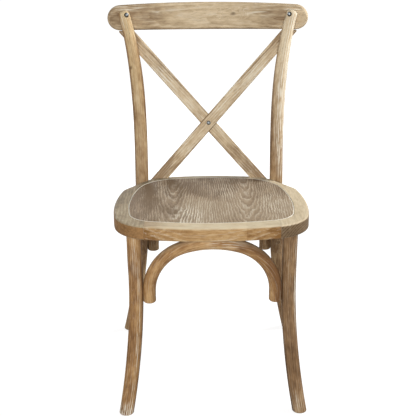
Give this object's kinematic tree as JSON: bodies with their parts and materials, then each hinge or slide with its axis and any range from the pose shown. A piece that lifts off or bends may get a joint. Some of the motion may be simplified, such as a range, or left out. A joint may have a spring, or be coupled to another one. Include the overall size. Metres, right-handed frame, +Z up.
{
  "type": "cross back dining chair",
  "caption": "Oak dining chair: bowed crest rail on bent posts, crossed slats, rounded seat with an inset panel, splayed bent legs and round bentwood arches under the seat.",
  "frame": {"origin": "on the floor, in the middle of the chair's overall width and depth", "axes": "+X to the right as seen from the front, +Y towards the back, +Z up"},
  "size_m": [0.502, 0.5191, 0.8875],
  "materials": {
    "oak": "weathered, limed",
    "oak_panel": "weathered, limed",
    "dowel": "plain",
    "fastener": "dark"
  },
  "bodies": {
    "root": {"front_leg_left": "oak", "front_leg_right": "oak", "rear_leg_left": "oak", "rear_leg_right": "oak", "seat_front_rail": "oak", "seat_rear_rail": "oak", "seat_left_rail": "oak", "seat_right_rail": "oak", "seat_panel": "oak_panel", "crest_rail": "oak", "cross_slat_front": "oak", "cross_slat_rear": "oak", "front_arch": "oak", "rear_arch": "oak", "left_arch": "oak", "right_arch": "oak", "crest_bolts": "fastener", "crest_bolt_nuts": "fastener", "cross_centre_bolt": "fastener", "cross_centre_nut": "fastener", "cross_upper_screws": "fastener", "cross_lower_screws": "fastener", "rear_leg_bolts": "fastener", "rear_leg_barrel_nuts": "fastener", "arch_end_screws": "fastener", "arch_crown_screws": "fastener", "seat_frame_dowels": "dowel"}
  },
  "joints": []
}
